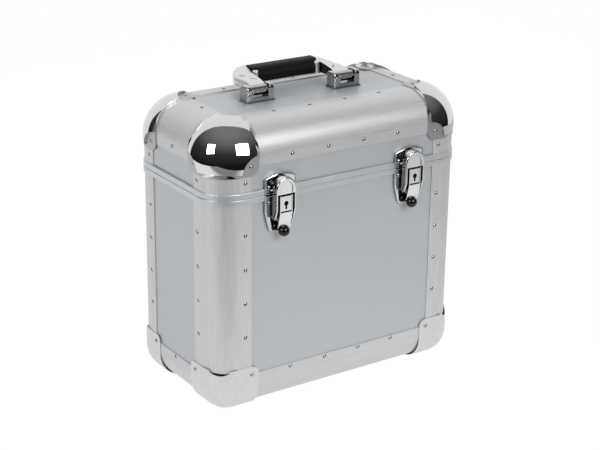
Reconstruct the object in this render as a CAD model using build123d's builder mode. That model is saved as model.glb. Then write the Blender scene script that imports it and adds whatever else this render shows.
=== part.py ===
"""Record carrying case: a box with rounded aluminium edges, a hinged lid, two draw latches and a
folding handle.

Millimetres.  X runs along the width, +Y to the back, +Z up.  The floor is Z = 0 under the feet, and
X = Y = 0 is the middle of the whole part, latches and hinge included.
"""
from build123d import *
import os
from math import asin, atan2, cos, degrees, radians, sin

os.makedirs("parts", exist_ok=True)

# ---- the case ------------------------------------------------------------------------------
case_width = 370.0
case_depth = 198.0
case_height = 366.0
edge_radius = 38.0            # outside rounding of every edge
lid_height = 87.0             # from the lid line to the top face
foot_radius = 5.0
foot_height = 4.0
foot_inset_x = 50.0
foot_inset_y = 40.0

# ---- edge profiles and panels ---------------------------------------------------------------
profile_skin = 1.2
profile_leg = 50.0            # from the sharp corner to the profile's free edge
profile_web = 1.2
profile_lip = 8.0             # inner lip behind a panel's edge
profile_end = 56.0            # a profile stops this far from the sharp corner
panel_thickness = 7.0
panel_clearance = 0.25

# ---- closure frames on lid and body ---------------------------------------------------------
band_height = 7.5
band_proud = 1.5
band_round = 1.0
seam_gap = 0.5                # open groove between the two bands
frame_wall = 1.5
groove_depth = 2.5
tongue_height = 2.0
tongue_width = 3.5
tongue_inset = 3.0            # from the sharp outer face to the tongue
tongue_clearance = 0.4
tongue_rear_stop = 60.0       # the tongue ends this far in front of the back face

# ---- corner pieces --------------------------------------------------------------------------
cap_skin = 1.0
cap_reach = 60.0
cap_edge_radius = 34.0
cap_dip = 6.0                 # dip in the cap's upper rim at the rounded corner
cap_dip_width = 27.0
cap_tab_radius = 9.0
cap_rivet_inset = 50.0
ball_radius = 53.0
ball_inset = 47.5
ball_wall = 1.2
ball_span = 56.0              # the dome ends this far from the sharp corner
ball_core = 45.0              # nearer to it, the dome's wall may run inside the case's rounding
ball_flange_reach = 60.0
ball_pad_radius = 22.8        # flat pads that cut into the dome, one on each face
ball_pad_inset = 57.8
ball_rivet_inset = 48.5
ball_tab_radius = 11.0

# ---- rivets -----------------------------------------------------------------------------------
rivet_radius = 2.7
rivet_height = 1.3
rivet_inset = 41.5            # from the sharp corner, on the profiles
rivet_inset_bottom = 46.5     # on the bottom profiles
rivet_first_z = 101.0         # lowest row on the corner profiles, above the underside
rivet_last_drop = 46.0        # highest row, below the lid line
rivet_rows_z = 4
rivet_end_x = 107.0           # first rivet of a row along the width, from the sharp corner
rivet_count_x = 4
lid_leg_rivet_drop = 7.8      # below the ball corner's flange

# ---- rear hinge -------------------------------------------------------------------------------
hinge_end_clearance = 1.0     # from the ball corners' flanges
hinge_knuckles = 13
hinge_knuckle_radius = 3.0
hinge_pin_radius = 1.5
hinge_play = 0.05             # radial, round the pin
hinge_end_gap = 0.3           # between neighbouring knuckles
hinge_standoff = 0.5          # knuckles stand this far off the closure frames
hinge_leaf = 1.2
hinge_relief = 2.8            # a leaf stays this far above or below the axis beside the other's knuckles
hinge_leaf_height = 22.0
hinge_rivet_drop = 15.5
hinge_rivets = 5
hinge_rivet_end = 12.0        # first rivet from the leaf's end

# ---- latches ----------------------------------------------------------------------------------
latch_inset = 89.0            # from the case's side face to the latch's middle
plate_rise = 3.0              # face of base and keeper, out from the profiles' face
plate_half_width = 22.0
plate_gap = 0.3               # between the lid line and each plate's edge
plate_rim = 1.8
plate_dish = 0.6
plate_corner = 3.0
plate_edge_round = 1.2        # of the plates' front edges
keeper_height = 25.0
keeper_side_height = 19.5
catch_half_width = 5.5
catch_low = 8.0
catch_high = 16.0
catch_rise = 2.3              # stands out from the keeper's face, behind the bail
base_height = 47.0
base_waist = 22.0             # below the lid line, where the taper starts
base_toe_half_width = 15.5
plate_rivet_x = 16.5
keeper_rivet_z = 9.0
base_rivet_z = 10.0
pivot_drop = 3.0              # lever pivot below the lid line
pivot_out = 10.5
pivot_radius = 1.5
pivot_play = 0.05
ear_radius = 2.6
ear_inner = 5.0
ear_thickness = 1.6
lever_half_width = 8.8
lever_sheet = 1.1
lever_front = 15.0
lever_back = 5.8
lever_knee_drop = 22.0
lever_toe_drop = 41.5
lever_toe_out = 10.6
lever_cheek_rise = 0.4        # its two side cheeks, above the lid line and below it
lever_cheek_drop = 32.0
lock_drop = 0.7               # upper edge of the lock plate below the lid line
lock_height = 18.4
lock_gap = 1.5                # groove round the lock plate's ends
lock_sink = 0.3
lock_case_depth = 5.0
lock_case_height = 12.0
keyhole_height = 9.4          # its round centre above the lock plate's lower edge
keyhole_radius = 3.1
keyhole_slot_width = 2.6
keyhole_slot_length = 7.0
keyhole_depth = 4.0
tip_radius = 7.0
tip_drop = 45.5
tip_out = 10.2
tip_play = 0.05               # round the lever's toe in the tip's slot
bail_half_width = 13.5
bail_sheet = 1.5
bail_back = 6.0
bail_front = 15.0
bail_rise = 22.5              # top of the bail's arch above the lid line
bail_face_rise = 1.6          # lower edge of the bail's face above the lid line
bail_rim = 4.3
bail_dish = 0.8
bail_edge_round = 1.2          # of its front edge
bail_pivot_drop = 27.0
bail_pivot_out = 8.5
bail_pivot_radius = 1.5
bail_end_radius = 3.4
bail_shoulder = 9.0

# ---- handle -----------------------------------------------------------------------------------
handle_x = -3.5               # the handle sits a little left of the case's middle
bracket_x = 64.5              # from the handle's middle to each bracket's
bracket_width = 39.0
bracket_wall = 1.8
bracket_rise = 19.5           # above the case's top face
bracket_front = 13.9          # in front of the case's middle, at the foot
bracket_lean = 0.5            # the front leans back by this much at its top
bracket_back = 4.5            # behind the middle
bracket_ear = 6.5             # thickness of the two ears that hold the pin
bracket_front_rise = 15.1     # top of the front between the ears
bracket_round = 1.6
bracket_top_round = 5.0       # of the ears' front and back
bracket_base = 1.6
bracket_flange = 0.8
window_width = 22.0
window_low = 5.0
window_high = 13.3
bezel_width = 1.3             # raised edge round the window
bezel_rise = 0.7
handle_pivot_y = -4.8
handle_pivot_z = 12.0
handle_pin_radius = 2.5
handle_play = 0.05
barrel_radius = 6.4
barrel_length = 25.4
arm_outer = 74.0
arm_inner = 52.0
arm_low = 10.8                # underside of the folded arms above the case's top face
arm_heel_y = 12.0
arm_elbow_y = 18.0            # where the arms turn in towards the grip
arm_crown = ((5.0, 20.6), (18.0, 23.1), (40.0, 26.8))     # top of the arms: along, height
arm_side_top = 20.8           # top of an arm's outer side
arm_side_round = 5.0
neck_top = 17.4
grip_front = 25.0
grip_back = 54.0
grip_top = 29.5
grip_half = 48.0
grip_nose = 12.0              # rounding of the grip's top front edge
grip_heel = 9.0               # of its top back edge
grip_sole = 2.5               # of its two lower edges
grip_gap = 0.2                # round the collars
grip_bay_half = 51.5          # room between the arms for the grip and the collars
grip_bay_front = 27.0
grip_bay_back = 40.0
bow_back_drop = 5.0
bow_corner_radius = 24.0
collar_radius = 3.8
collar_x = 46.0
collar_y = 28.5
collar_top = 26.7
collar_round = 2.0
strap_thickness = 1.0
slot_length = 9.0             # two short slots in the top of each arm
slot_width = 1.3
slot_floor = 19.6
arm_slot_places = ((67.5, 26.0, 75.0), (59.5, 10.5, 40.0))     # across, along, turn in degrees

# ---- derived places ---------------------------------------------------------------------------
hinge_out = band_proud + hinge_standoff + 2 * hinge_knuckle_radius
latch_out = tip_out + tip_radius
case_y = (latch_out - hinge_out) / 2
left_x = -case_width / 2
right_x = case_width / 2
split_height = case_height - lid_height
latch_x = case_width / 2 - latch_inset
hinge_length = case_width - 2 * (ball_flange_reach + hinge_end_clearance)
front_y = case_y - case_depth / 2
back_y = case_y + case_depth / 2
bottom_z = foot_height + cap_skin
top_z = bottom_z + case_height
split_z = bottom_z + split_height
mid_z = (bottom_z + top_z) / 2
wall_depth = profile_skin + panel_thickness + profile_web
body_seat_z = split_z - frame_wall
lid_seat_z = split_z + groove_depth + frame_wall
panel_half_x = case_width / 2 - edge_radius - panel_clearance
panel_half_y = case_depth / 2 - edge_radius - panel_clearance
body_panel_low = bottom_z + edge_radius + panel_clearance
lid_panel_high = top_z - edge_radius - panel_clearance
pivot_z = split_z - pivot_drop
bail_z = split_z - bail_pivot_drop
arch_z = split_z + bail_rise - bail_half_width
lock_low_z = split_z - lock_drop - lock_height
hinge_y = back_y + hinge_out - hinge_knuckle_radius
handle_y = case_y + handle_pivot_y
lid_face_z = top_z - profile_skin
handle_z = top_z + handle_pivot_z

FRONT = Plane(origin=(0, front_y, 0), x_dir=(1, 0, 0), z_dir=(0, -1, 0))
BACK = Plane(origin=(0, back_y, 0), x_dir=(-1, 0, 0), z_dir=(0, 1, 0))
LEFT = Plane(origin=(left_x, 0, 0), x_dir=(0, -1, 0), z_dir=(-1, 0, 0))
RIGHT = Plane(origin=(right_x, 0, 0), x_dir=(0, 1, 0), z_dir=(1, 0, 0))
TOP = Plane.XY.offset(top_z)
UNDER = Plane(origin=(0, 0, bottom_z), x_dir=(1, 0, 0), z_dir=(0, 0, -1))


def save(piece, name):
    """Label a piece with its node name and write its file."""
    piece.part.label = name
    export_step(piece.part, "parts/" + name + ".step")


def box_between(low, high, mode=Mode.ADD):
    """Box from its lowest to its highest corner, in the builder that is open."""
    with Locations(((low[0] + high[0]) / 2, (low[1] + high[1]) / 2, (low[2] + high[2]) / 2)):
        Box(high[0] - low[0], high[1] - low[1], high[2] - low[2], mode=mode)


# ---- reference forms: the rounded outside of the case and the covers' outside -------------------
def rounded_form(growth, radius):
    """Box round the case, grown on every side, with all its edges rounded."""
    with BuildPart() as form:
        with Locations((0, case_y, mid_z)):
            Box(case_width + 2 * growth, case_depth + 2 * growth, case_height + 2 * growth)
        fillet(form.edges(), radius)
    return form.part


case_form = rounded_form(0, edge_radius)
ball_flange_form = rounded_form(ball_wall, edge_radius + ball_wall)
cap_outer_form = rounded_form(cap_skin, cap_edge_radius)
cap_inner_form = rounded_form(0, cap_edge_radius - cap_skin)


# ---- panels -------------------------------------------------------------------------------------
def upright_panel_x(face_y, inward, low, high):
    """Panel along the width, its outer face one profile skin inside the case's face."""
    outer = face_y + inward * profile_skin
    inner = outer + inward * panel_thickness
    box_between((-panel_half_x, min(outer, inner), low), (panel_half_x, max(outer, inner), high))


def upright_panel_y(face_x, inward, low, high):
    """Panel along the depth."""
    outer = face_x + inward * profile_skin
    inner = outer + inward * panel_thickness
    box_between((min(outer, inner), case_y - panel_half_y, low),
                (max(outer, inner), case_y + panel_half_y, high))


with BuildPart() as body_front_panel:
    upright_panel_x(front_y, 1, body_panel_low, body_seat_z)
save(body_front_panel, "body_front_panel")

with BuildPart() as body_back_panel:
    upright_panel_x(back_y, -1, body_panel_low, body_seat_z)
save(body_back_panel, "body_back_panel")

with BuildPart() as body_left_panel:
    upright_panel_y(left_x, 1, body_panel_low, body_seat_z)
save(body_left_panel, "body_left_panel")

with BuildPart() as body_right_panel:
    upright_panel_y(right_x, -1, body_panel_low, body_seat_z)
save(body_right_panel, "body_right_panel")

with BuildPart() as body_floor_panel:
    box_between((-panel_half_x, case_y - panel_half_y, bottom_z + profile_skin),
                (panel_half_x, case_y + panel_half_y, bottom_z + profile_skin + panel_thickness))
save(body_floor_panel, "body_floor_panel")

with BuildPart() as lid_front_panel:
    upright_panel_x(front_y, 1, lid_seat_z, lid_panel_high)
save(lid_front_panel, "lid_front_panel")

with BuildPart() as lid_back_panel:
    upright_panel_x(back_y, -1, lid_seat_z, lid_panel_high)
save(lid_back_panel, "lid_back_panel")

with BuildPart() as lid_left_panel:
    upright_panel_y(left_x, 1, lid_seat_z, lid_panel_high)
save(lid_left_panel, "lid_left_panel")

with BuildPart() as lid_right_panel:
    upright_panel_y(right_x, -1, lid_seat_z, lid_panel_high)
save(lid_right_panel, "lid_right_panel")

with BuildPart() as lid_top_panel:
    box_between((-panel_half_x, case_y - panel_half_y, top_z - profile_skin - panel_thickness),
                (panel_half_x, case_y + panel_half_y, top_z - profile_skin))
save(lid_top_panel, "lid_top_panel")


# ---- edge profiles --------------------------------------------------------------------------------
def edge_profile(middle, inward_a, inward_b, length):
    """Rounded edge extrusion: two outer legs, and a lip and web that hold each panel's edge.

    middle is the middle of the sharp edge that the rounding replaces; inward_a and inward_b run
    from it along the two faces.
    """
    side_a = Vector(*inward_a)
    side_b = Vector(*inward_b)
    inner_radius = edge_radius - profile_skin
    start = degrees(asin(profile_web / inner_radius))
    reach = edge_radius - inner_radius * cos(radians(start))
    lip_end = edge_radius + profile_lip
    near = profile_skin + panel_thickness
    far = wall_depth
    root = edge_radius - profile_web
    centre = (edge_radius, edge_radius)
    with BuildSketch(Plane(origin=middle, x_dir=side_a, z_dir=side_a.cross(side_b))) as section:
        with BuildLine():
            Line((profile_leg, 0), (edge_radius, 0))
            CenterArc(centre, edge_radius, 270, -90)
            Polyline((0, edge_radius), (0, profile_leg), (profile_skin, profile_leg),
                     (profile_skin, edge_radius), (near, edge_radius), (near, lip_end),
                     (far, lip_end), (far, root), (reach, root))
            CenterArc(centre, inner_radius, 180 + start, 90 - 2 * start)
            Polyline((root, reach), (root, far), (lip_end, far), (lip_end, near),
                     (edge_radius, near), (edge_radius, profile_skin),
                     (profile_leg, profile_skin), (profile_leg, 0))
        make_face()
    extrude(section.sketch, amount=length / 2, both=True)


def upright_profile(side_x, side_y, low, high):
    edge_profile((side_x * case_width / 2, case_y + side_y * case_depth / 2, (low + high) / 2),
                 (-side_x, 0, 0), (0, -side_y, 0), high - low)


def level_profile_x(side_y, level, rise):
    edge_profile((0, case_y + side_y * case_depth / 2, level), (0, -side_y, 0), (0, 0, rise),
                 case_width - 2 * profile_end)


def level_profile_y(side_x, level, rise):
    edge_profile((side_x * case_width / 2, case_y, level), (-side_x, 0, 0), (0, 0, rise),
                 case_depth - 2 * profile_end)


corners = {"front_left": (-1, -1), "front_right": (1, -1), "rear_left": (-1, 1), "rear_right": (1, 1)}

for corner, (side_x, side_y) in corners.items():
    with BuildPart() as body_corner_profile:
        upright_profile(side_x, side_y, bottom_z + profile_end, body_seat_z)
    save(body_corner_profile, "body_corner_profile_" + corner)

    with BuildPart() as lid_corner_profile:
        upright_profile(side_x, side_y, lid_seat_z, top_z - profile_end)
    save(lid_corner_profile, "lid_corner_profile_" + corner)

for place, side_y in {"front": -1, "rear": 1}.items():
    with BuildPart() as bottom_profile:
        level_profile_x(side_y, bottom_z, 1)
    save(bottom_profile, "bottom_profile_" + place)

    with BuildPart() as top_profile:
        level_profile_x(side_y, top_z, -1)
    save(top_profile, "top_profile_" + place)

for place, side_x in {"left": -1, "right": 1}.items():
    with BuildPart() as bottom_profile:
        level_profile_y(side_x, bottom_z, 1)
    save(bottom_profile, "bottom_profile_" + place)

    with BuildPart() as top_profile:
        level_profile_y(side_x, top_z, -1)
    save(top_profile, "top_profile_" + place)


# ---- closure frames -------------------------------------------------------------------------------
def ring(outer, inner, level, height, mode=Mode.ADD):
    """Ring round the case between two offsets from its face; positive is outwards."""
    with BuildSketch(Plane.XY.offset(level)) as band:
        with Locations((0, case_y)):
            RectangleRounded(case_width + 2 * outer, case_depth + 2 * outer, edge_radius + outer)
            RectangleRounded(case_width + 2 * inner, case_depth + 2 * inner, edge_radius + inner,
                             mode=Mode.SUBTRACT)
    extrude(band.sketch, amount=height, mode=mode)


def rounded_band(level):
    """Slab of the band's height with rounded outer edges, grooved at the lid line; it trims a ring."""
    with BuildPart() as slab:
        with BuildSketch(Plane.XY.offset(level)):
            with Locations((0, case_y)):
                RectangleRounded(case_width + 2 * band_proud, case_depth + 2 * band_proud,
                                 edge_radius + band_proud)
        extrude(amount=band_height)
        fillet(slab.faces().filter_by(Axis.Z).edges(), band_round)
        with BuildSketch(Plane.XY.offset(split_z)) as seam:
            with Locations((0, case_y)):
                RectangleRounded(case_width + 4 * band_proud, case_depth + 4 * band_proud,
                                 edge_radius + 2 * band_proud)
                RectangleRounded(case_width, case_depth, edge_radius, mode=Mode.SUBTRACT)
        extrude(seam.sketch, amount=seam_gap / 2, both=True, mode=Mode.SUBTRACT)
    return slab.part


with BuildPart() as body_closure_frame:
    ring(band_proud, -wall_depth - frame_wall, split_z - band_height, band_height)
    add(rounded_band(split_z - band_height), mode=Mode.INTERSECT)
    ring(0, -wall_depth, split_z - band_height, band_height - frame_wall, mode=Mode.SUBTRACT)
    with BuildSketch(Plane.XY.offset(split_z)) as tongue:
        with Locations((0, case_y)):
            RectangleRounded(case_width - 2 * tongue_inset, case_depth - 2 * tongue_inset,
                             edge_radius - tongue_inset)
            RectangleRounded(case_width - 2 * (tongue_inset + tongue_width),
                             case_depth - 2 * (tongue_inset + tongue_width),
                             edge_radius - tongue_inset - tongue_width, mode=Mode.SUBTRACT)
        with Locations((0, back_y)):
            Rectangle(case_width, 2 * tongue_rear_stop, mode=Mode.SUBTRACT)
    extrude(tongue.sketch, amount=tongue_height)
save(body_closure_frame, "body_closure_frame")

with BuildPart() as lid_closure_frame:
    ring(band_proud, -wall_depth - frame_wall, split_z, band_height)
    add(rounded_band(split_z), mode=Mode.INTERSECT)
    ring(0, -wall_depth, lid_seat_z, split_z + band_height - lid_seat_z, mode=Mode.SUBTRACT)
    ring(tongue_clearance - tongue_inset, -tongue_inset - tongue_width - tongue_clearance,
         split_z, groove_depth, mode=Mode.SUBTRACT)
save(lid_closure_frame, "lid_closure_frame")


# ---- corner pieces ---------------------------------------------------------------------------------
def corner_point(side_x, side_y, side_z, inset_x, inset_y, inset_z):
    """Point inset from a corner of the case, along the three edges."""
    return (side_x * (case_width / 2 - inset_x), case_y + side_y * (case_depth / 2 - inset_y),
            mid_z + side_z * (case_height / 2 - inset_z))


def corner_cube(side_x, side_y, side_z, reach, mode=Mode.ADD):
    """Cube round a corner of the case, from well outside it to reach inside its faces."""
    middle = (reach - edge_radius) / 2
    with Locations(corner_point(side_x, side_y, side_z, middle, middle, middle)):
        Box(reach + edge_radius, reach + edge_radius, reach + edge_radius, mode=mode)


def tab_outline(side_x, side_y, side_z, reach, tab_radius):
    """Corner cube with the free corner of each of its three tabs rounded."""
    with BuildPart() as outline:
        corner_cube(side_x, side_y, side_z, reach)
        inmost = outline.vertices().sort_by_distance((0, case_y, mid_z))[0]
        fillet(outline.edges().filter_by(lambda edge: inmost in edge.vertices()), tab_radius)
    return outline.part


def face_cuts(side_x, side_y, side_z, radius):
    """Cut a round pad on each face, from the case's face outwards, so that the tab lies flat."""
    for normal, turn in enumerate((Rotation(0, 90, 0), Rotation(90, 0, 0), Rotation(0, 0, 0))):
        inset = [ball_pad_inset] * 3
        inset[normal] = -edge_radius / 2
        with Locations(Location(corner_point(side_x, side_y, side_z, *inset)) * turn):
            Cylinder(radius, edge_radius, mode=Mode.SUBTRACT)


def dome(side_x, side_y, inset_by):
    """The ball's bulge over one corner, or its hollow when it is inset by the wall."""
    with Locations(corner_point(side_x, side_y, 1, ball_inset, ball_inset, ball_inset)):
        Sphere(ball_radius - inset_by)
    corner_cube(side_x, side_y, 1, ball_span - inset_by, Mode.INTERSECT)
    face_cuts(side_x, side_y, 1, ball_pad_radius + inset_by)


with BuildPart() as case_core:
    # what the balls leave free: the whole inside of the case, but for its top corners
    add(case_form)
    for side_x, side_y in corners.values():
        corner_cube(side_x, side_y, 1, ball_core, Mode.SUBTRACT)

for corner, (side_x, side_y) in corners.items():
    with BuildPart() as ball_footprint:
        corner_cube(side_x, side_y, 1, ball_span)
        face_cuts(side_x, side_y, 1, ball_pad_radius)

    with BuildPart() as ball_flange:
        add(ball_flange_form)
        add(tab_outline(side_x, side_y, 1, ball_flange_reach, ball_tab_radius), mode=Mode.INTERSECT)
        add(ball_footprint.part, mode=Mode.SUBTRACT)
        add(case_form, mode=Mode.SUBTRACT)

    with BuildPart() as ball_hollow:
        dome(side_x, side_y, ball_wall)

    with BuildPart() as ball_corner:
        dome(side_x, side_y, 0)
        add(ball_hollow.part, mode=Mode.SUBTRACT)
        add(case_core.part, mode=Mode.SUBTRACT)
        add(ball_flange.part)
    save(ball_corner, "ball_corner_" + corner)

    with BuildPart() as bottom_cap:
        add(cap_outer_form)
        add(tab_outline(side_x, side_y, -1, cap_reach, cap_tab_radius), mode=Mode.INTERSECT)
        add(cap_inner_form, mode=Mode.SUBTRACT)
        # shallow dip in the upper rim, over the rounded corner
        with BuildSketch(Plane(origin=corner_point(side_x, side_y, -1, 0, 0, cap_reach),
                               x_dir=(side_x, -side_y, 0), z_dir=(side_x, side_y, 0))):
            Ellipse(cap_dip_width / 2, cap_dip)
        extrude(amount=edge_radius, both=True, mode=Mode.SUBTRACT)
    save(bottom_cap, "bottom_cap_" + corner)


# ---- feet --------------------------------------------------------------------------------------------
with BuildPart() as feet:
    with Locations((0, case_y, foot_height / 2)):
        with GridLocations(case_width - 2 * foot_inset_x, case_depth - 2 * foot_inset_y, 2, 2):
            Cylinder(foot_radius, foot_height)
save(feet, "feet")


# ---- hinge -------------------------------------------------------------------------------------------
def hinge_box(from_x, to_x, in_y, out_y, low_z, high_z, mode=Mode.ADD):
    """Box on the back; y is given outwards from the closure frames' face, z upwards from the lid line."""
    face = back_y + band_proud
    box_between((from_x, face + in_y, split_z + low_z), (to_x, face + out_y, split_z + high_z), mode)


def hinge_half(side_z, first_knuckle):
    """One leaf: over its closure frame, down on to its panel, and every second knuckle."""
    half = hinge_length / 2
    seat = -band_proud - profile_skin
    step = (band_height, band_height + hinge_leaf)
    for low, high, inner, outer in ((hinge_relief, step[1], 0, hinge_leaf),
                                    (step[0], step[1], seat, hinge_leaf),
                                    (step[0], hinge_leaf_height, seat, seat + hinge_leaf)):
        ends = sorted((side_z * low, side_z * high))
        hinge_box(-half, half, inner, outer, ends[0], ends[1])
    pitch = hinge_length / hinge_knuckles
    for number in range(first_knuckle, hinge_knuckles, 2):
        start = -half + number * pitch + (hinge_end_gap / 2 if number else 0)
        stop = -half + (number + 1) * pitch - (hinge_end_gap / 2 if number < hinge_knuckles - 1 else 0)
        ends = sorted((0, side_z * (hinge_relief + hinge_leaf)))
        hinge_box(start, stop, 0, hinge_leaf, ends[0], ends[1])
        with Locations(Location(((start + stop) / 2, hinge_y, split_z), (0, 90, 0))):
            Cylinder(hinge_knuckle_radius, stop - start)
    with Locations(Location((0, hinge_y, split_z), (0, 90, 0))):
        Cylinder(hinge_pin_radius + hinge_play, hinge_length, mode=Mode.SUBTRACT)


with BuildPart() as hinge_body_leaf:
    hinge_half(-1, 0)
save(hinge_body_leaf, "hinge_body_leaf")

with BuildPart() as hinge_lid_leaf:
    hinge_half(1, 1)
save(hinge_lid_leaf, "hinge_lid_leaf")

with BuildPart() as hinge_pin:
    with Locations(Location((0, hinge_y, split_z), (0, 90, 0))):
        Cylinder(hinge_pin_radius, hinge_length)
save(hinge_pin, "hinge_pin")


# ---- latches -----------------------------------------------------------------------------------------
def front_box(from_x, to_x, in_out, out_out, low, high, mode=Mode.ADD):
    """Box on the front; the second pair is measured outwards from the case's front face."""
    box_between((from_x, front_y - out_out, low), (to_x, front_y - in_out, high), mode)


def cross_rod(x, out, level, radius, length, mode=Mode.ADD):
    """Rod along the width."""
    with Locations(Location((x, front_y - out, level), (0, 90, 0))):
        Cylinder(radius, length, mode=mode)


def plate_body(outline):
    """Raised plate seated on the panel, rounded in front and dished inside its rim."""
    plate = extrude(outline.sketch, amount=profile_skin + plate_rise)
    fillet(plate.faces().sort_by(Axis.Y)[0].edges(), plate_edge_round)
    with BuildSketch(FRONT.offset(plate_rise)) as dish:
        add(outline.sketch_local)
        offset(amount=-plate_rim, kind=Kind.INTERSECTION)
    extrude(dish.sketch, amount=-plate_dish, mode=Mode.SUBTRACT)


def side_plates(x, outline_points, inner, thickness, rounds=()):
    """Two plates across the width at x, from their outline in (outward, height)."""
    for side in (-1, 1):
        with BuildSketch(Plane(origin=(x + side * inner, front_y, 0), x_dir=(0, -1, 0),
                               z_dir=(-1, 0, 0))) as cheek:
            Polygon(*outline_points, align=None)
            for out, level, radius in rounds:
                with Locations((out, level)):
                    Circle(radius)
        extrude(cheek.sketch, amount=-side * thickness)


latches = {"left": -latch_x, "right": latch_x}

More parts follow.
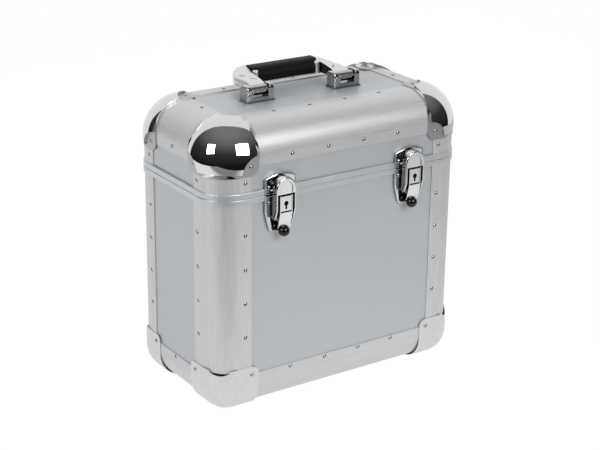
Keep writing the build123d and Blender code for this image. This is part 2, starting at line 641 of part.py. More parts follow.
for place, x in latches.items():
    with BuildPart() as latch_keeper:
        with BuildSketch(FRONT.offset(-profile_skin)) as keeper_outline:
            low = split_z + plate_gap
            high = split_z + keeper_side_height
            with BuildLine():
                Polyline((x - plate_half_width, high), (x - plate_half_width, low),
                         (x + plate_half_width, low), (x + plate_half_width, high))
                ThreePointArc((x + plate_half_width, high), (x, split_z + keeper_height),
                              (x - plate_half_width, high))
            make_face()
            fillet(keeper_outline.vertices().group_by(Axis.Y)[-1], plate_corner)
        plate_body(keeper_outline)
        front_box(x - catch_half_width, x + catch_half_width, 0, plate_rise - plate_dish + catch_rise,
                  split_z + catch_low, split_z + catch_high)
        front_box(x - plate_half_width, x + plate_half_width, -profile_skin, band_proud,
                  split_z, split_z + band_height, Mode.SUBTRACT)
    save(latch_keeper, "latch_keeper_" + place)

    with BuildPart() as latch_base:
        with BuildSketch(FRONT.offset(-profile_skin)) as base_outline:
            high = split_z - plate_gap
            waist = split_z - base_waist
            low = split_z - base_height
            Polygon((x - plate_half_width, high), (x - plate_half_width, waist),
                    (x - base_toe_half_width, low), (x + base_toe_half_width, low),
                    (x + plate_half_width, waist), (x + plate_half_width, high), align=None)
            fillet(base_outline.vertices().group_by(Axis.Y)[0], 2 * plate_corner)
        plate_body(base_outline)
        front_box(x - plate_half_width, x + plate_half_width, -profile_skin, band_proud,
                  split_z - band_height, split_z, Mode.SUBTRACT)
        side_plates(x, [(0, pivot_z - ear_radius), (pivot_out, pivot_z - ear_radius),
                        (pivot_out, pivot_z + ear_radius), (band_proud, pivot_z - ear_radius / 2)],
                    ear_inner, ear_thickness, [(pivot_out, pivot_z, ear_radius)])
        front_box(x - plate_half_width, x + plate_half_width, -profile_skin, band_proud,
                  split_z - band_height, split_z, Mode.SUBTRACT)
        cross_rod(x, pivot_out, pivot_z, pivot_radius + pivot_play, 2 * plate_half_width, Mode.SUBTRACT)
    save(latch_base, "latch_base_" + place)

    with BuildPart() as latch_lever:
        cheek = lever_half_width - lever_sheet
        knee = split_z - lever_knee_drop
        toe = split_z - lever_toe_drop
        sheet_top = lock_low_z - lock_gap
        heel = split_z - lever_cheek_drop
        slope = (lever_front - lever_toe_out) / (knee - toe)
        heel_out = lever_front - slope * (knee - heel)
        side_plates(x, [(lever_back, split_z + lever_cheek_rise),
                        (lever_front, split_z + lever_cheek_rise),
                        (lever_front, knee), (heel_out, heel), (lever_back, heel)],
                    cheek, lever_sheet)
        sheet_outline = [(lever_front, sheet_top), (lever_front, knee), (lever_toe_out, toe),
                         (lever_toe_out - lever_sheet, toe), (lever_front - lever_sheet, knee),
                         (lever_front - lever_sheet, sheet_top)]
        with BuildSketch(Plane(origin=(x, front_y, 0), x_dir=(0, -1, 0), z_dir=(-1, 0, 0))) as sheet:
            Polygon(*sheet_outline, align=None)
        extrude(sheet.sketch, amount=lever_half_width, both=True)
        cross_rod(x, pivot_out, pivot_z, pivot_radius + pivot_play, 4 * lever_half_width, Mode.SUBTRACT)
        cross_rod(x, bail_pivot_out, bail_z, bail_pivot_radius + pivot_play, 4 * lever_half_width,
                  Mode.SUBTRACT)
    save(latch_lever, "latch_lever_" + place)

    with BuildPart() as latch_lock:
        front_box(x - cheek, x + cheek, lever_front - lock_sink - lever_sheet, lever_front - lock_sink,
                  lock_low_z, lock_low_z + lock_height)
        front_box(x - cheek, x + cheek, lever_front - lock_sink - lever_sheet - lock_case_depth,
                  lever_front - lock_sink - lever_sheet, lock_low_z, lock_low_z + lock_case_height)
        with BuildSketch(FRONT.offset(lever_front - lock_sink)) as keyhole:
            with Locations((x, lock_low_z + keyhole_height)):
                Circle(keyhole_radius)
            with Locations((x, lock_low_z + keyhole_height - keyhole_slot_length / 2)):
                Rectangle(keyhole_slot_width, keyhole_slot_length)
        extrude(keyhole.sketch, amount=-keyhole_depth, mode=Mode.SUBTRACT)
    save(latch_lock, "latch_lock_" + place)

    with BuildPart() as latch_tip:
        with Locations((x, front_y - tip_out, split_z - tip_drop)):
            Sphere(tip_radius, rotation=(0, 90, 0))
        with BuildSketch(Plane(origin=(x, front_y, 0), x_dir=(0, -1, 0), z_dir=(-1, 0, 0))) as slot:
            Polygon(*sheet_outline, align=None)
            offset(amount=tip_play, kind=Kind.INTERSECTION)
        extrude(slot.sketch, amount=lever_half_width, both=True, mode=Mode.SUBTRACT)
    save(latch_tip, "latch_tip_" + place)

    with BuildPart() as latch_bail:
        face_low = split_z + bail_face_rise
        arch_top = split_z + bail_rise
        for half_width, top, back, front, mode in (
                (bail_half_width, arch_top, bail_back, bail_front, Mode.ADD),
                (bail_half_width - bail_sheet, arch_top - bail_sheet, bail_back,
                 bail_front - bail_sheet, Mode.SUBTRACT),
                (bail_half_width - bail_rim, arch_top - bail_rim, bail_front - bail_dish, bail_front,
                 Mode.SUBTRACT)):
            with BuildSketch(FRONT.offset(back)) as arch:
                with Locations((x, top - half_width)):
                    Circle(half_width)
                with Locations((x, (top - half_width + face_low) / 2)):
                    Rectangle(2 * half_width, top - half_width - face_low)
                with Locations((x, face_low - half_width)):
                    Rectangle(4 * half_width, 2 * half_width, mode=Mode.SUBTRACT)
            extrude(arch.sketch, amount=front - back, mode=mode)
            if mode == Mode.ADD:
                fillet(latch_bail.faces().sort_by(Axis.Y)[0].edges(), bail_edge_round)
        side_plates(x, [(bail_pivot_out - bail_end_radius, bail_z), (bail_pivot_out + bail_end_radius,
                        bail_z), (bail_front, bail_z + bail_shoulder), (bail_front, arch_z),
                        (bail_back, arch_z)], bail_half_width - bail_sheet, bail_sheet,
                    [(bail_pivot_out, bail_z, bail_end_radius)])
        cross_rod(x, bail_pivot_out, bail_z, bail_pivot_radius, 2 * bail_half_width)
    save(latch_bail, "latch_bail_" + place)

with BuildPart() as latch_pivot_pins:
    for x in latches.values():
        cross_rod(x, pivot_out, pivot_z, pivot_radius, 2 * lever_half_width)
save(latch_pivot_pins, "latch_pivot_pins")


# ---- handle ------------------------------------------------------------------------------------------
handle_sides = {"left": handle_x - bracket_x, "right": handle_x + bracket_x}


def side_sheet(x, points, half_width, mode=Mode.ADD):
    """Prism along the width, both ways from x, from its outline in (y, z)."""
    with BuildSketch(Plane(origin=(x, 0, 0), x_dir=(0, 1, 0), z_dir=(1, 0, 0))) as outline:
        Polygon(*points, align=None)
    extrude(outline.sketch, amount=half_width, both=True, mode=mode)


for place, x in handle_sides.items():
    with BuildPart() as handle_bracket:
        half = bracket_width / 2
        front = case_y - bracket_front
        back = case_y + bracket_back
        roof = top_z + bracket_rise
        floor = lid_face_z + bracket_base
        side_sheet(x, [(front, lid_face_z), (back, lid_face_z), (back, roof),
                       (front + bracket_lean, roof)], half)
        fillet(handle_bracket.edges().filter_by(Axis.X).group_by(Axis.Z)[-1], bracket_top_round)
        seat = handle_bracket.faces().sort_by(Axis.Z)[0].edges()
        fillet(handle_bracket.edges().filter_by(lambda edge: edge not in seat), bracket_round)
        box_between((x - half - bracket_flange, front - bracket_flange, lid_face_z),
                    (x + half + bracket_flange, back + bracket_flange, floor))
        # room for the barrel between the ears, open above the front, behind and on top
        open_back = back + 2 * bracket_flange
        side_sheet(x, [(front + bracket_wall, floor), (open_back, floor), (open_back, roof + bracket_wall),
                       (front - bracket_wall, roof + bracket_wall),
                       (front - bracket_wall, top_z + bracket_front_rise),
                       (front + bracket_lean + bracket_wall, top_z + bracket_front_rise)],
                   half - bracket_ear, Mode.SUBTRACT)
        # window with a raised edge, square to the leaning front
        lean = atan2(bracket_lean, roof - lid_face_z)
        foot = front + bracket_lean * (top_z - lid_face_z) / (roof - lid_face_z)
        leaning_front = Plane(origin=(x, foot, top_z), x_dir=(1, 0, 0), z_dir=(0, -cos(lean), sin(lean)))
        with BuildSketch(leaning_front) as bezel:
            with Locations((0, (window_low + window_high) / 2)):
                RectangleRounded(window_width + 2 * bezel_width,
                                 window_high - window_low + 2 * bezel_width, bezel_width)
        extrude(bezel.sketch, amount=bezel_rise)
        with BuildSketch(leaning_front.offset(bezel_rise)) as window:
            with Locations((0, (window_low + window_high) / 2)):
                Rectangle(window_width, window_high - window_low)
        extrude(window.sketch, amount=-2 * bracket_wall, mode=Mode.SUBTRACT)
        with Locations(Location((x, handle_y, handle_z), (0, 90, 0))):
            Cylinder(handle_pin_radius + handle_play, 2 * bracket_width, mode=Mode.SUBTRACT)
    save(handle_bracket, "handle_bracket_" + place)

with BuildPart() as handle_pins:
    for x in handle_sides.values():
        with Locations(Location((x, handle_y, handle_z), (0, 90, 0))):
            Cylinder(handle_pin_radius, bracket_width)
save(handle_pins, "handle_pins")


def mirrored(points):
    """The points of one side of the handle, then those of the other in turn."""
    return ([(handle_x + across, case_y + along) for across, along in points]
            + [(handle_x - across, case_y + along) for across, along in reversed(points)])


grip_base = top_z + arm_low + strap_thickness
notch_x = collar_x - collar_radius - grip_gap
notch_y = collar_y + collar_radius + grip_gap
grip_outline = mirrored([(notch_x, grip_front), (notch_x, notch_y), (grip_half, notch_y),
                         (grip_half, grip_back)])
handle_side_view = Plane(origin=(handle_x, case_y, top_z), x_dir=(0, 1, 0), z_dir=(1, 0, 0))
handle_front_view = Plane(origin=(handle_x, case_y, top_z), x_dir=(1, 0, 0), z_dir=(0, -1, 0))

with BuildPart() as collars:
    for side in (-1, 1):
        with Locations((handle_x + side * collar_x, case_y + collar_y,
                        top_z + (arm_low + collar_top) / 2)):
            Cylinder(collar_radius, collar_top - arm_low)
    fillet(collars.edges().group_by(Axis.Z)[-1], collar_round)

with BuildPart() as handle_bow:
    with BuildSketch(TOP) as bow_plan:
        Polygon(*mirrored([(grip_bay_half, grip_front), (arm_inner, arm_elbow_y),
                           (arm_inner, handle_pivot_y), (arm_outer, handle_pivot_y),
                           (arm_outer, grip_back)]), align=None)
        fillet(bow_plan.vertices().group_by(Axis.Y)[-1], bow_corner_radius)
    extrude(bow_plan.sketch, amount=grip_top)
    # seen from the side: low neck at the pivot, rising to the grip
    with BuildSketch(handle_side_view) as bow_side:
        with BuildLine():
            Spline((handle_pivot_y, neck_top), *arm_crown, (grip_back - bow_back_drop, grip_top))
            Polyline((grip_back - bow_back_drop, grip_top), (grip_back, grip_top - bow_back_drop),
                     (grip_back, arm_low), (arm_heel_y, arm_low),
                     (handle_pivot_y, handle_pivot_z - barrel_radius), (handle_pivot_y, neck_top))
        make_face()
    extrude(bow_side.sketch, amount=case_width / 2, both=True, mode=Mode.INTERSECT)
    # seen from the front: shoulders that fall away to both sides of the grip
    with BuildSketch(handle_front_view) as bow_front:
        Polygon((-arm_outer, handle_pivot_z - barrel_radius), (-arm_outer, arm_side_top),
                (-grip_half, grip_top), (grip_half, grip_top), (arm_outer, arm_side_top),
                (arm_outer, handle_pivot_z - barrel_radius), align=None)
        fillet(bow_front.vertices().group_by(Axis.Y)[1], arm_side_round)
    extrude(bow_front.sketch, amount=case_width / 2, both=True, mode=Mode.INTERSECT)
    with BuildSketch(Plane.XY.offset(grip_base)) as grip_room:
        Polygon(*mirrored([(grip_bay_half, grip_front), (grip_bay_half, grip_bay_front),
                           (grip_half, grip_bay_back), (grip_half, grip_back)]), align=None)
    extrude(grip_room.sketch, amount=grip_top, mode=Mode.SUBTRACT)
    add(collars.part)
    with BuildSketch(Plane.XY.offset(top_z + slot_floor)) as arm_slots:
        for side in (-1, 1):
            for across, along, turn in arm_slot_places:
                with Locations(Location((handle_x + side * across, case_y + along, 0), (0, 0, side * turn))):
                    SlotOverall(slot_length + slot_width, slot_width)
    extrude(arm_slots.sketch, amount=grip_top - slot_floor, mode=Mode.SUBTRACT)
    for x in handle_sides.values():
        with Locations(Location((x, handle_y, handle_z), (0, 90, 0))):
            Cylinder(barrel_radius, barrel_length)
            Cylinder(handle_pin_radius + handle_play, 2 * bracket_width, mode=Mode.SUBTRACT)
save(handle_bow, "handle_bow")

with BuildPart() as handle_grip:
    with BuildSketch(handle_side_view) as grip_section:
        Polygon((grip_front, arm_low + strap_thickness), (grip_back, arm_low + strap_thickness),
                (grip_back, grip_top), (grip_front, grip_top), align=None)
        for end, rounding in ((0, grip_nose), (-1, grip_heel)):
            fillet(grip_section.vertices().group_by(Axis.Y)[-1].sort_by(Axis.X)[end], rounding)
        fillet(grip_section.vertices().group_by(Axis.Y)[0], grip_sole)
    extrude(grip_section.sketch, amount=grip_half, both=True)
    with BuildSketch(Plane.XY.offset(grip_base)) as grip_plan:
        Polygon(*grip_outline, align=None)
    extrude(grip_plan.sketch, amount=grip_top, mode=Mode.INTERSECT)
save(handle_grip, "handle_grip")


# ---- rivets ------------------------------------------------------------------------------------------
def on_front(side_y, x, z, lift=0):
    plane, across = (FRONT, x) if side_y < 0 else (BACK, -x)
    return plane.location * Location((across, z, lift))


def on_side(side_x, y, z, lift=0):
    plane, across = (LEFT, -y) if side_x < 0 else (RIGHT, y)
    return plane.location * Location((across, z, lift))


def on_level(side_z, x, y, lift=0):
    plane, across = (UNDER, -y) if side_z < 0 else (TOP, y)
    return plane.location * Location((x, across, lift))


def inset_x(side, inset):
    return side * (case_width / 2 - inset)


def inset_y(side, inset):
    return case_y + side * (case_depth / 2 - inset)


def spread(first, last, count):
    """Evenly spaced places from the first to the last."""
    return [first + (last - first) * number / (count - 1) for number in range(count)]


row_x = spread(left_x + rivet_end_x, right_x - rivet_end_x, rivet_count_x)
row_z = spread(bottom_z + rivet_first_z, split_z - rivet_last_drop, rivet_rows_z)
hinge_row = spread(hinge_rivet_end - hinge_length / 2, hinge_length / 2 - hinge_rivet_end, hinge_rivets)
leaf_lift = hinge_leaf - profile_skin
plate_lift = plate_rise - plate_dish

body_spots = []
lid_spots = []
for side_x, side_y in corners.values():
    for level in row_z:
        body_spots += [on_front(side_y, inset_x(side_x, rivet_inset), level),
                       on_side(side_x, inset_y(side_y, rivet_inset), level)]
    lid_leg_z = top_z - ball_flange_reach - lid_leg_rivet_drop
    lid_spots += [on_front(side_y, inset_x(side_x, rivet_inset), lid_leg_z),
                  on_side(side_x, inset_y(side_y, rivet_inset), lid_leg_z)]
    cap_z = bottom_z + cap_rivet_inset
    body_spots += [on_front(side_y, inset_x(side_x, cap_rivet_inset), cap_z, cap_skin),
                   on_side(side_x, inset_y(side_y, cap_rivet_inset), cap_z, cap_skin)]
    ball_z = top_z - ball_rivet_inset
    lid_spots += [on_front(side_y, inset_x(side_x, ball_rivet_inset), ball_z, ball_wall),
                  on_side(side_x, inset_y(side_y, ball_rivet_inset), ball_z, ball_wall),
                  on_level(1, inset_x(side_x, ball_rivet_inset), inset_y(side_y, ball_rivet_inset),
                           ball_wall)]
for side in (-1, 1):
    for x in row_x:
        body_spots += [on_front(side, x, bottom_z + rivet_inset_bottom),
                       on_level(-1, x, inset_y(side, rivet_inset_bottom))]
        lid_spots += [on_front(side, x, top_z - rivet_inset),
                      on_level(1, x, inset_y(side, rivet_inset))]
    body_spots += [on_side(side, case_y, bottom_z + rivet_inset_bottom),
                   on_level(-1, inset_x(side, rivet_inset_bottom), case_y)]
    lid_spots += [on_side(side, case_y, top_z - rivet_inset),
                  on_level(1, inset_x(side, rivet_inset), case_y)]
    for x in latches.values():
        body_spots.append(on_front(-1, x + side * plate_rivet_x, split_z - base_rivet_z, plate_lift))
        lid_spots.append(on_front(-1, x + side * plate_rivet_x, split_z + keeper_rivet_z, plate_lift))
for x in hinge_row:
    body_spots.append(on_front(1, x, split_z - hinge_rivet_drop, leaf_lift))
    lid_spots.append(on_front(1, x, split_z + hinge_rivet_drop, leaf_lift))

dome_radius = (rivet_radius ** 2 + rivet_height ** 2) / (2 * rivet_height)

with BuildPart() as rivet_head:
    with Locations((0, 0, rivet_height - dome_radius)):
        Sphere(dome_radius)
    split(bisect_by=Plane.XY, keep=Keep.TOP)

with BuildPart() as body_rivets:
    with Locations(*body_spots):
        add(rivet_head.part)
save(body_rivets, "body_rivets")

with BuildPart() as lid_rivets:
    with Locations(*lid_spots):
        add(rivet_head.part)
save(lid_rivets, "lid_rivets")
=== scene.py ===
import math
import bpy
from mathutils import Matrix, Vector


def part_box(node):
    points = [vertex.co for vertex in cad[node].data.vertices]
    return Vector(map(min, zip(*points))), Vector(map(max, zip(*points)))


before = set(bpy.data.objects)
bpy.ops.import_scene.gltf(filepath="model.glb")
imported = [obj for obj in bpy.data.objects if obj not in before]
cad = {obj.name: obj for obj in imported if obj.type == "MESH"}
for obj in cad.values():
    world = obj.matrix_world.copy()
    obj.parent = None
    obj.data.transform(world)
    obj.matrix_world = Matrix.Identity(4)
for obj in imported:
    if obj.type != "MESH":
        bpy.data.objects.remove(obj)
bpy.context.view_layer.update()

scene = bpy.context.scene
scene.view_settings.view_transform = "Standard"


# ---- camera -------------------------------------------------------------------------------------
RIGHT = Vector((0.82968176, -0.55810032, 0.0123375))
UP = Vector((0.18640222, 0.29780581, 0.93625099))
BACKWARD = Vector((-0.52619616, -0.77449063, 0.35111519))
EYE = Vector((-1.03215, -1.51627, 0.88104))
LENS = 91.32
SENSOR_WIDTH = 36
NEAREST, FARTHEST = 0.05, 50

camera = bpy.data.objects.new("camera", bpy.data.cameras.new("camera"))
scene.collection.objects.link(camera)
camera.matrix_world = Matrix((
    (RIGHT.x, UP.x, BACKWARD.x, EYE.x),
    (RIGHT.y, UP.y, BACKWARD.y, EYE.y),
    (RIGHT.z, UP.z, BACKWARD.z, EYE.z),
    (0, 0, 0, 1)))
camera.data.lens = LENS
camera.data.sensor_width = SENSOR_WIDTH
camera.data.clip_start = NEAREST
camera.data.clip_end = FARTHEST
scene.camera = camera


# ---- node helpers -------------------------------------------------------------------------------
class Graph:
    """Shorthand for building a node tree."""

    def __init__(self, tree):
        self.tree = tree
        tree.nodes.clear()

    def add(self, kind, inputs=None, **settings):
        node = self.tree.nodes.new(kind)
        for key, value in settings.items():
            setattr(node, key, value)
        for key, value in (inputs or {}).items():
            self.put(node.inputs[key], value)
        return node

    def put(self, socket, value):
        if isinstance(value, bpy.types.NodeSocket):
            self.tree.links.new(value, socket)
        else:
            socket.default_value = value

    def math(self, operation, a, b=0.0, c=0.0):
        node = self.add("ShaderNodeMath", operation=operation)
        for socket, value in zip(node.inputs, (a, b, c)):
            self.put(socket, value)
        return node.outputs[0]

    def span(self, value, low, high, to_low=0.0, to_high=1.0, smooth=False):
        """Map the range low to high onto another range, held at its ends."""
        node = self.add("ShaderNodeMapRange", interpolation_type="SMOOTHSTEP" if smooth else "LINEAR")
        for socket, setting in zip(node.inputs, (value, low, high, to_low, to_high)):
            self.put(socket, setting)
        return node.outputs[0]

    def blend(self, factor, first, second):
        """Mix of two colours: the inputs of a Mix node's colours are numbers 6 and 7."""
        node = self.add("ShaderNodeMix", data_type="RGBA")
        self.put(node.inputs[0], factor)
        self.put(node.inputs[6], first)
        self.put(node.inputs[7], second)
        return node.outputs[2]


def shade(level, tint=(1, 1, 1)):
    return (level * tint[0], level * tint[1], level * tint[2], 1)


# a noise value mostly lies in this range
NOISE_LOW, NOISE_HIGH = 0.3, 0.7

# brushing: lines per metre across it, shares of that along it and in the wide bands
FINE_ALONG = 0.02
WIDE_ACROSS = 0.25
WIDE_ALONG = 0.002
FINE_SHARE, WIDE_SHARE = 0.88, 0.12
BRUSH_DEPTH = 0.0002

# open share of the surroundings in a full crease and on an open face, for the shade painted into creases
CREASE_CLOSED, CREASE_OPEN = 0.35, 0.9


class Finish:
    """A material with its Principled shader and the place on the object."""

    def __init__(self, name, base, rough, metallic=1.0, edge=0.0, specular=0.5):
        self.made = bpy.data.materials.new(name)
        self.made.use_nodes = True
        self.g = Graph(self.made.node_tree)
        self.base, self.rough = base, rough
        out = self.g.add("ShaderNodeOutputMaterial")
        self.surface = self.g.add("ShaderNodeBsdfPrincipled")
        self.g.put(out.inputs["Surface"], self.surface.outputs[0])
        self.surface.inputs["Base Color"].default_value = base
        self.surface.inputs["Metallic"].default_value = metallic
        self.surface.inputs["Roughness"].default_value = rough
        self.surface.inputs["Specular IOR Level"].default_value = specular
        coordinates = self.g.add("ShaderNodeTexCoord")
        self.place = coordinates.outputs["Object"]
        self.facing = coordinates.outputs["Normal"]
        self.normal = None
        if edge:
            self.normal = self.g.add("ShaderNodeBevel", {"Radius": edge}, samples=4).outputs[0]
            self.g.put(self.surface.inputs["Normal"], self.normal)

    def noise(self, scale, detail=3.0):
        """Noise with its own scale along each axis."""
        spot = self.g.add("ShaderNodeVectorMath", {0: self.place, 1: scale}, operation="MULTIPLY")
        grain = {"Vector": spot.outputs[0], "Scale": 1.0, "Detail": detail}
        return self.g.add("ShaderNodeTexNoise", grain).outputs["Fac"]

    def tone(self, value, depth, rough_depth=0.0):
        """Lighten and darken the colour, and vary the roughness, with a noise value."""
        level = self.g.span(value, NOISE_LOW, NOISE_HIGH, 1 - depth, 1 + depth)
        colour = self.g.add("ShaderNodeVectorMath", {0: self.base[:3], 1: level}, operation="MULTIPLY")
        self.g.put(self.surface.inputs["Base Color"], colour.outputs[0])
        if rough_depth:
            rough = self.g.span(value, NOISE_LOW, NOISE_HIGH,
                                self.rough - rough_depth, self.rough + rough_depth)
            self.g.put(self.surface.inputs["Roughness"], rough)

    def relief(self, value, strength, depth):
        node = self.g.add("ShaderNodeBump", {"Strength": strength, "Distance": depth, "Height": value})
        if self.normal is not None:
            self.g.put(node.inputs["Normal"], self.normal)
        self.normal = node.outputs[0]
        self.g.put(self.surface.inputs["Normal"], self.normal)

    def brushed(self, axis, density=1100, depth=0.09, rough_depth=0.04, bump=0.15):
        """Fine lines along one axis, over wider bands."""
        fine = [density] * 3
        fine[axis] = density * FINE_ALONG
        wide = [density * WIDE_ACROSS] * 3
        wide[axis] = density * WIDE_ALONG
        fine_lines = self.noise(fine)
        bands = self.g.math("MULTIPLY", self.noise(wide), WIDE_SHARE)
        lines = self.g.math("MULTIPLY_ADD", fine_lines, FINE_SHARE, bands)
        self.tone(lines, depth, rough_depth)
        self.relief(lines, bump, BRUSH_DEPTH)
        return self

    def painted_crease_shade(self, reach, darkest):
        """Paint shade into the colour in creases and gaps, up to a reach in metres."""
        open_part = self.g.add("ShaderNodeAmbientOcclusion", {"Distance": reach}, samples=6)
        level = self.g.span(open_part.outputs["AO"], CREASE_CLOSED, CREASE_OPEN, darkest, 1.0)
        colour = self.g.add("ShaderNodeVectorMath", {0: self.base[:3], 1: level}, operation="MULTIPLY")
        self.g.put(self.surface.inputs["Base Color"], colour.outputs[0])
        return self

    def clouded(self, depth, rough_depth=0.0, scale=90):
        """Soft patches in the colour and the roughness."""
        self.tone(self.noise([scale] * 3, 6.0), depth, rough_depth)
        return self

    def within(self, mask, base, rough, metallic=1.0):
        """Another finish where the mask is 1; it lies over any that was given before."""
        first = self.so_far("Base Color")
        self.g.put(self.surface.inputs["Base Color"], self.g.blend(mask, first, base))
        for name, value in (("Roughness", rough), ("Metallic", metallic)):
            self.g.put(self.surface.inputs[name], self.g.span(mask, 0, 1, self.so_far(name), value))
        return self

    def so_far(self, name):
        """What an input holds now: the socket linked to it, or its own value."""
        socket = self.surface.inputs[name]
        return socket.links[0].from_socket if socket.is_linked else socket.default_value

    def split_place(self, place=None):
        return self.g.add("ShaderNodeSeparateXYZ", {0: place or self.place}).outputs


COOL = (0.955, 1.0, 1.03)
WARM = (1.0, 0.995, 1.012)
ALONG_X, ALONG_Y, ALONG_Z = 0, 1, 2

panel = Finish("silver_laminate", shade(0.52, COOL), 0.46, metallic=0.5).clouded(0.012, 0.02)
profile = {
    axis: Finish("brushed_profile_" + "xyz"[axis], shade(0.60, WARM), 0.45, metallic=0.62).brushed(axis)
    for axis in (ALONG_X, ALONG_Y, ALONG_Z)}
frame_metal = Finish("closure_frame_metal", shade(0.60, COOL), 0.40, metallic=0.7).clouded(0.02, 0.03)
cap_metal = Finish("cap_plating", shade(0.64, WARM), 0.38, metallic=0.7).clouded(0.06, 0.05, 300)
rivet_chrome = Finish("rivet_chrome", shade(0.34), 0.14, edge=0.0006)
# latches and brackets: shade painted into the colour of their creases
latch_chrome = Finish("latch_chrome", shade(0.70), 0.06, edge=0.0009).painted_crease_shade(0.008, 0.10)
bracket_chrome = Finish("bracket_chrome", shade(0.50), 0.08, edge=0.0008).painted_crease_shade(0.010, 0.05)
hinge_metal = Finish("hinge_steel", shade(0.60), 0.3, edge=0.0003)
grip_plastic = Finish("grip_plastic", shade(0.003), 0.5, metallic=0.0, specular=0.12)
tip_plastic = Finish("tip_plastic", shade(0.004), 0.10, metallic=0.0, specular=0.35)
foot_rubber = Finish("foot_rubber", shade(0.02), 0.7, metallic=0.0)


# how far out of a masked form its mask starts and is complete
MASK_NEAR, MASK_FAR = 0.0003, 0.0006

# the handle's bow: half the room between its arms, the collars' outer end, both from its middle,
# and its pivot's Y and Z with the barrels round it
ARM_INNER = 0.052
COLLAR_OUTER = 0.0498
PIVOT_Y, PIVOT_Z = -0.0002, 0.383
BARREL_RADIUS = 0.0064
INWARD_LOW, INWARD_HIGH = 0.45, 0.6
BOW_CLOSE, BOW_NEAR, BOW_FAR = 0.0001, 0.0002, 0.0006

# the lock's polished face, and the fade to the black painted shade behind it
LOCK_FACE = 0.0003
LOCK_FADE = 0.0002

# the ball corners: the dome's radius, and its centre from the case's middle
BALL_RADIUS = 0.053
BALL_PLACE = (0.1375, 0.0515, 0.3235)
CASE_MIDDLE = (0, 0.0046, 0)


def ball_finish():
    """Polished dome, satin flange: told apart by the distance from the dome's centre."""
    made = Finish("ball_chrome", shade(0.66, (0.99, 1.0, 1.02)), 0.03)
    g = made.g
    spot = g.add("ShaderNodeVectorMath", {0: made.place, 1: CASE_MIDDLE}, operation="SUBTRACT")
    spot = g.add("ShaderNodeVectorMath", {0: spot.outputs[0]}, operation="ABSOLUTE")
    reach = g.add("ShaderNodeVectorMath", {0: spot.outputs[0], 1: BALL_PLACE}, operation="DISTANCE")
    reach = reach.outputs["Value"]
    short_of_dome = g.span(reach, BALL_RADIUS - MASK_FAR, BALL_RADIUS - MASK_NEAR, 1, 0)
    beyond_dome = g.span(reach, BALL_RADIUS + MASK_NEAR, BALL_RADIUS + MASK_FAR)
    return made.within(g.math("MAXIMUM", short_of_dome, beyond_dome), shade(0.50, WARM), 0.42)


def lock_finish():
    """Chrome face; black painted shade in the keyhole and behind the face."""
    made = Finish("lock_chrome", shade(0.68), 0.12)
    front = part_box("latch_lock_left")[0][1]
    depth = made.split_place()["Y"]
    behind = made.g.span(depth, front + LOCK_FACE, front + LOCK_FACE + LOCK_FADE)
    return made.within(behind, shade(0.004), 0.6, 0.0)


def bow_finish():
    """Satin arms, black on their inner sides, with polished barrels and collars."""
    made = Finish("handle_bow_satin", shade(0.70, WARM), 0.30, metallic=0.85, edge=0.0012)
    made.clouded(0.03, 0.04, 500)
    low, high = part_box("handle_bow")
    middle = (low[0] + high[0]) / 2
    g = made.g
    spot = made.split_place()
    across = g.math("SUBTRACT", spot["X"], middle)
    beside = g.math("ABSOLUTE", across)
    outward = made.split_place(made.facing)["X"]
    inward = g.math("MULTIPLY", g.math("SIGN", across), g.math("MULTIPLY", outward, -1.0))
    inner_side = g.span(inward, INWARD_LOW, INWARD_HIGH)
    between_arms = g.span(beside, ARM_INNER + BOW_NEAR, ARM_INNER + BOW_FAR, 1, 0)
    past_collars = g.span(beside, COLLAR_OUTER + BOW_CLOSE, COLLAR_OUTER + MASK_NEAR)
    dark = g.math("MULTIPLY", inner_side, g.math("MULTIPLY", between_arms, past_collars))
    made.within(dark, shade(0.004), 0.35, 0.0)
    rear = g.math("SUBTRACT", spot["Y"], PIVOT_Y)
    rise = g.math("SUBTRACT", spot["Z"], PIVOT_Z)
    squares = g.math("ADD", g.math("MULTIPLY", rear, rear), g.math("MULTIPLY", rise, rise))
    barrel = g.span(g.math("SQRT", squares), BARREL_RADIUS + BOW_CLOSE, BARREL_RADIUS + MASK_NEAR, 1, 0)
    return made.within(barrel, shade(0.45), 0.10)


ball_chrome = ball_finish()
lock_chrome = lock_finish()
bow_metal = bow_finish()


def finish_of(name):
    if name.endswith("_panel"):
        return panel
    if "corner_profile" in name:
        return profile[ALONG_Z]
    if "profile" in name:
        return profile[ALONG_Y if name.endswith(("left", "right")) else ALONG_X]
    for start, finish in (("ball_corner", ball_chrome), ("bottom_cap", cap_metal), ("feet", foot_rubber),
                          ("hinge", hinge_metal), ("latch_tip", tip_plastic), ("latch_lock", lock_chrome),
                          ("latch", latch_chrome), ("handle_bracket", bracket_chrome),
                          ("handle_pins", bracket_chrome), ("handle_bow", bow_metal),
                          ("handle_grip", grip_plastic)):
        if name.startswith(start):
            return finish
    return rivet_chrome if name.endswith("rivets") else frame_metal


for name, piece in cad.items():
    piece.data.materials.clear()
    piece.data.materials.append(finish_of(name).made)


# ---- stage --------------------------------------------------------------------------------------
FLOOR_LEFT, FLOOR_RIGHT = -1.6, 1.6
FLOOR_FRONT, FLOOR_REAR = -0.9, 1.6
FLOOR_WHITE = 1.05
FLOOR_GLOW_SHARE = 0.92

# the floor's two shades, which only mirrors show: where each begins and is complete, and its level
SHADE_LEFT = (0.0, -0.35)
SHADE_FRONT = (-0.20, -0.45)
SHADE_LEFT_LEVEL = 0.22
SHADE_RIGHT = (0.2, 0.9)
SHADE_RIGHT_LEVEL = 0.6

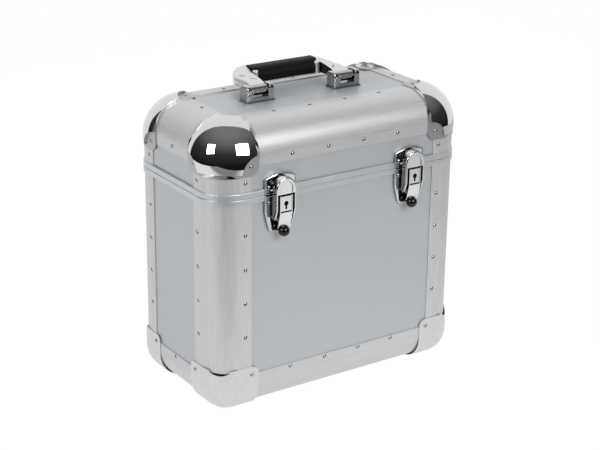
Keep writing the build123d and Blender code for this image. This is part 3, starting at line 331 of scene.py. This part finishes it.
mesh = bpy.data.meshes.new("floor")
mesh.from_pydata([(FLOOR_LEFT, FLOOR_FRONT, 0), (FLOOR_RIGHT, FLOOR_FRONT, 0),
                  (FLOOR_RIGHT, FLOOR_REAR, 0), (FLOOR_LEFT, FLOOR_REAR, 0)], [], [(0, 1, 2, 3)])
floor = bpy.data.objects.new("floor", mesh)
scene.collection.objects.link(floor)
white = bpy.data.materials.new("white_table")
white.use_nodes = True
g = Graph(white.node_tree)
out = g.add("ShaderNodeOutputMaterial")
rays = g.add("ShaderNodeLightPath")
seen = g.math("MAXIMUM", g.math("MAXIMUM", rays.outputs["Is Camera Ray"], rays.outputs["Is Glossy Ray"]),
              rays.outputs["Is Transmission Ray"])
paper = g.add("ShaderNodeBsdfDiffuse", {"Color": shade(0.85)})
spot = g.add("ShaderNodeSeparateXYZ", {0: g.add("ShaderNodeTexCoord").outputs["Object"]}).outputs
near_left = g.math("MULTIPLY", g.span(spot["Y"], *SHADE_FRONT, smooth=True),
                   g.span(spot["X"], *SHADE_LEFT, smooth=True))
near_left = g.math("MULTIPLY", near_left, rays.outputs["Is Glossy Ray"])
far_right = g.math("MULTIPLY", g.span(spot["X"], *SHADE_RIGHT, smooth=True), rays.outputs["Is Glossy Ray"])
level = g.math("MULTIPLY", g.span(near_left, 0, 1, FLOOR_WHITE, SHADE_LEFT_LEVEL),
               g.span(far_right, 0, 1, 1.0, SHADE_RIGHT_LEVEL))
glow = g.add("ShaderNodeEmission", {"Color": shade(1), "Strength": level})
mix = g.add("ShaderNodeMixShader", {0: g.math("MULTIPLY", seen, FLOOR_GLOW_SHARE), 1: paper.outputs[0],
                                    2: glow.outputs[0]})
g.put(out.inputs["Surface"], mix.outputs[0])
floor.data.materials.append(white)

# white studio behind the case, a dark room on the camera's side of it
ROOM_HALF_WIDTH = math.radians(112)
ROOM_OVERHEAD = 0.14
ROOM_EDGE = 0.02
ROOM_FLOOR, ROOM_MIDDLE, ROOM_CEILING = -0.2, 0.35, 0.95
ROOM_FLOOR_LEVEL, ROOM_MIDDLE_LEVEL, ROOM_CEILING_RISE = 0.01, 0.045, 0.20
world = bpy.data.worlds.new("studio")
scene.world = world
world.use_nodes = True
g = Graph(world.node_tree)
out = g.add("ShaderNodeOutputWorld")
rays = g.add("ShaderNodeLightPath")
aim = g.add("ShaderNodeTexCoord").outputs["Generated"]
towards_room = Vector((BACKWARD.x, BACKWARD.y, 0)).normalized()
forth = g.add("ShaderNodeVectorMath", {0: aim, 1: tuple(towards_room)}, operation="DOT_PRODUCT")
height = g.add("ShaderNodeSeparateXYZ", {0: aim}).outputs["Z"]
level_part = g.math("SQRT", g.math("SUBTRACT", 1.0, g.math("MULTIPLY", height, height)))
# the sides are upright; overhead they join in a curve a little behind the top
side = g.math("MULTIPLY", level_part, math.cos(ROOM_HALF_WIDTH))
reach = g.math("SQRT", g.math("MULTIPLY_ADD", side, side, ROOM_OVERHEAD ** 2))
dark = g.span(g.math("ADD", forth.outputs["Value"], reach), -ROOM_EDGE, ROOM_EDGE, smooth=True)
room = g.math("ADD", g.span(height, ROOM_FLOOR, ROOM_MIDDLE, ROOM_FLOOR_LEVEL, ROOM_MIDDLE_LEVEL),
              g.span(height, ROOM_MIDDLE, ROOM_CEILING, 0.0, ROOM_CEILING_RISE))
tone = g.blend(dark, shade(1.0), g.add("ShaderNodeCombineColor", {0: room, 1: room, 2: room}).outputs[0])
tone = g.blend(rays.outputs["Is Camera Ray"], tone, shade(1.0))
back = g.add("ShaderNodeBackground", {"Color": tone, "Strength": 1.0})
g.put(out.inputs["Surface"], back.outputs[0])

# the left ball corner
LAMPS_FACE = Vector((-0.1375, -0.0469, 0.3235))


def softbox(name, azimuth, elevation, width, height, turn, strength, distance=2.0):
    """Lamp that faces the left ball corner; azimuth is from -Y towards +X, all angles in degrees."""
    a, e = math.radians(azimuth), math.radians(elevation)
    lamp = bpy.data.lights.new(name, "AREA")
    lamp.shape = "RECTANGLE"
    lamp.size = 2 * distance * math.tan(math.radians(width / 2))
    lamp.size_y = 2 * distance * math.tan(math.radians(height / 2))
    lamp.energy = strength * lamp.size * lamp.size_y * math.pi
    made = bpy.data.objects.new(name, lamp)
    scene.collection.objects.link(made)
    outward = Vector((math.sin(a) * math.cos(e), -math.cos(a) * math.cos(e), math.sin(e)))
    across = Vector((0, 0, 1)).cross(outward).normalized()
    across = Matrix.Rotation(math.radians(turn), 3, outward) @ across
    made.matrix_world = Matrix.Translation(LAMPS_FACE + outward * distance) @ Matrix(
        (across, outward.cross(across), outward)).transposed().to_4x4()


softbox("softbox_right", 10, 28.5, 34, 28, -11, 7.5)
softbox("softbox_left", -83.5, 26.7, 20, 22, 17, 13.0)
